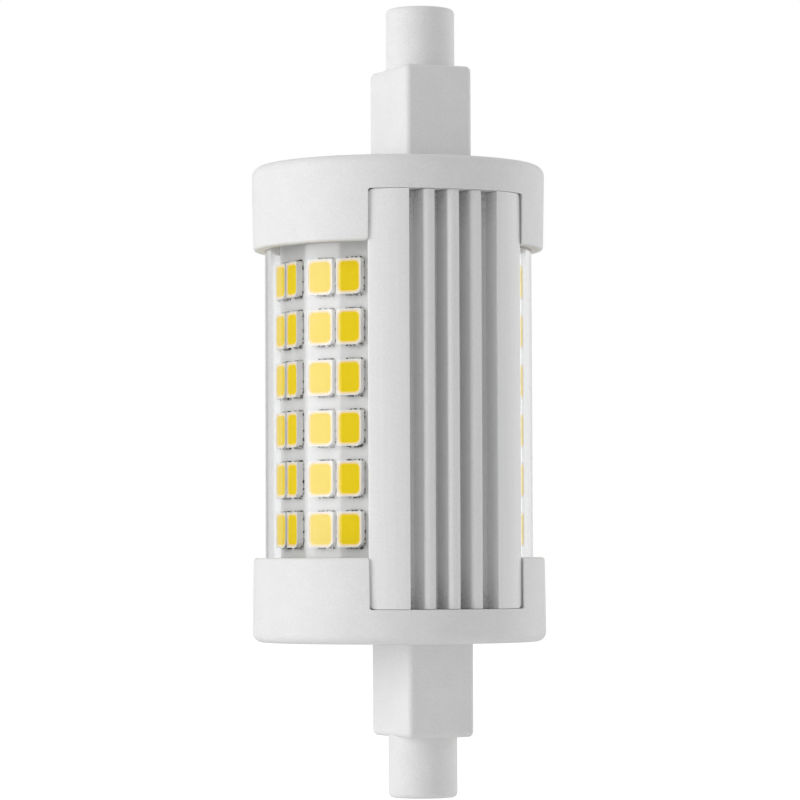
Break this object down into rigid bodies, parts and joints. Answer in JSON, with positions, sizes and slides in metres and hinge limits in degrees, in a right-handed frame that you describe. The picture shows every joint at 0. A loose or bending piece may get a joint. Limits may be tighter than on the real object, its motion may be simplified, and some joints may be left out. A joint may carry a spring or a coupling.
{
  "type": "linear led bulb",
  "caption": "Double-ended linear LED bulb: a clear sleeve over facets of LEDs, a white finned spine, and round end caps with rectangular necks and off-centre contact tips.",
  "frame": {"origin": "middle of the bulb, on the axis of its clear sleeve", "axes": "+Z along the bulb, -Y is the finned side"},
  "size_m": [0.0294, 0.0294, 0.078],
  "materials": {
    "cap_plastic": "fine matt moulding",
    "sink_coating": "white satin coating",
    "clear_plastic": "clear gloss",
    "board_white": "white solder mask",
    "led_housing": "matt",
    "phosphor": "soft gloss resin",
    "contact_metal": "nickel plated",
    "liner_film": "satin film",
    "driver_laminate": "green solder mask",
    "capacitor_sleeve": "gloss sleeve",
    "resistor_body": "matt cement coat",
    "black_moulding": "matt moulding",
    "film_capacitor_body": "gloss epoxy",
    "choke_body": "matt ferrite",
    "wire_insulation": "soft satin",
    "strap_metal": "tinned"
  },
  "bodies": {
    "root": {"bridge_rectifier": "black_moulding", "bulk_capacitor": "capacitor_sleeve", "choke": "choke_body", "clear_cover": "clear_plastic", "contact_bottom": "contact_metal", "contact_top": "contact_metal", "driver_board": "driver_laminate", "driver_chip": "black_moulding", "end_cap_bottom": "cap_plastic", "end_cap_top": "cap_plastic", "film_capacitor": "film_capacitor_body", "fusible_resistor": "resistor_body", "heat_sink": "sink_coating", "insulating_liner": "liner_film", "lead_wire_bottom": "wire_insulation", "lead_wire_top": "wire_insulation", "led_board": "board_white", "led_housings_1": "led_housing", "led_housings_2": "led_housing", "led_housings_3": "led_housing", "led_housings_4": "led_housing", "led_housings_5": "led_housing", "led_housings_6": "led_housing", "led_housings_7": "led_housing", "led_housings_8": "led_housing", "led_phosphor_1": "phosphor", "led_phosphor_2": "phosphor", "led_phosphor_3": "phosphor", "led_phosphor_4": "phosphor", "led_phosphor_5": "phosphor", "led_phosphor_6": "phosphor", "led_phosphor_7": "phosphor", "led_phosphor_8": "phosphor", "led_strap_left": "strap_metal", "led_strap_right": "strap_metal"}
  },
  "joints": []
}
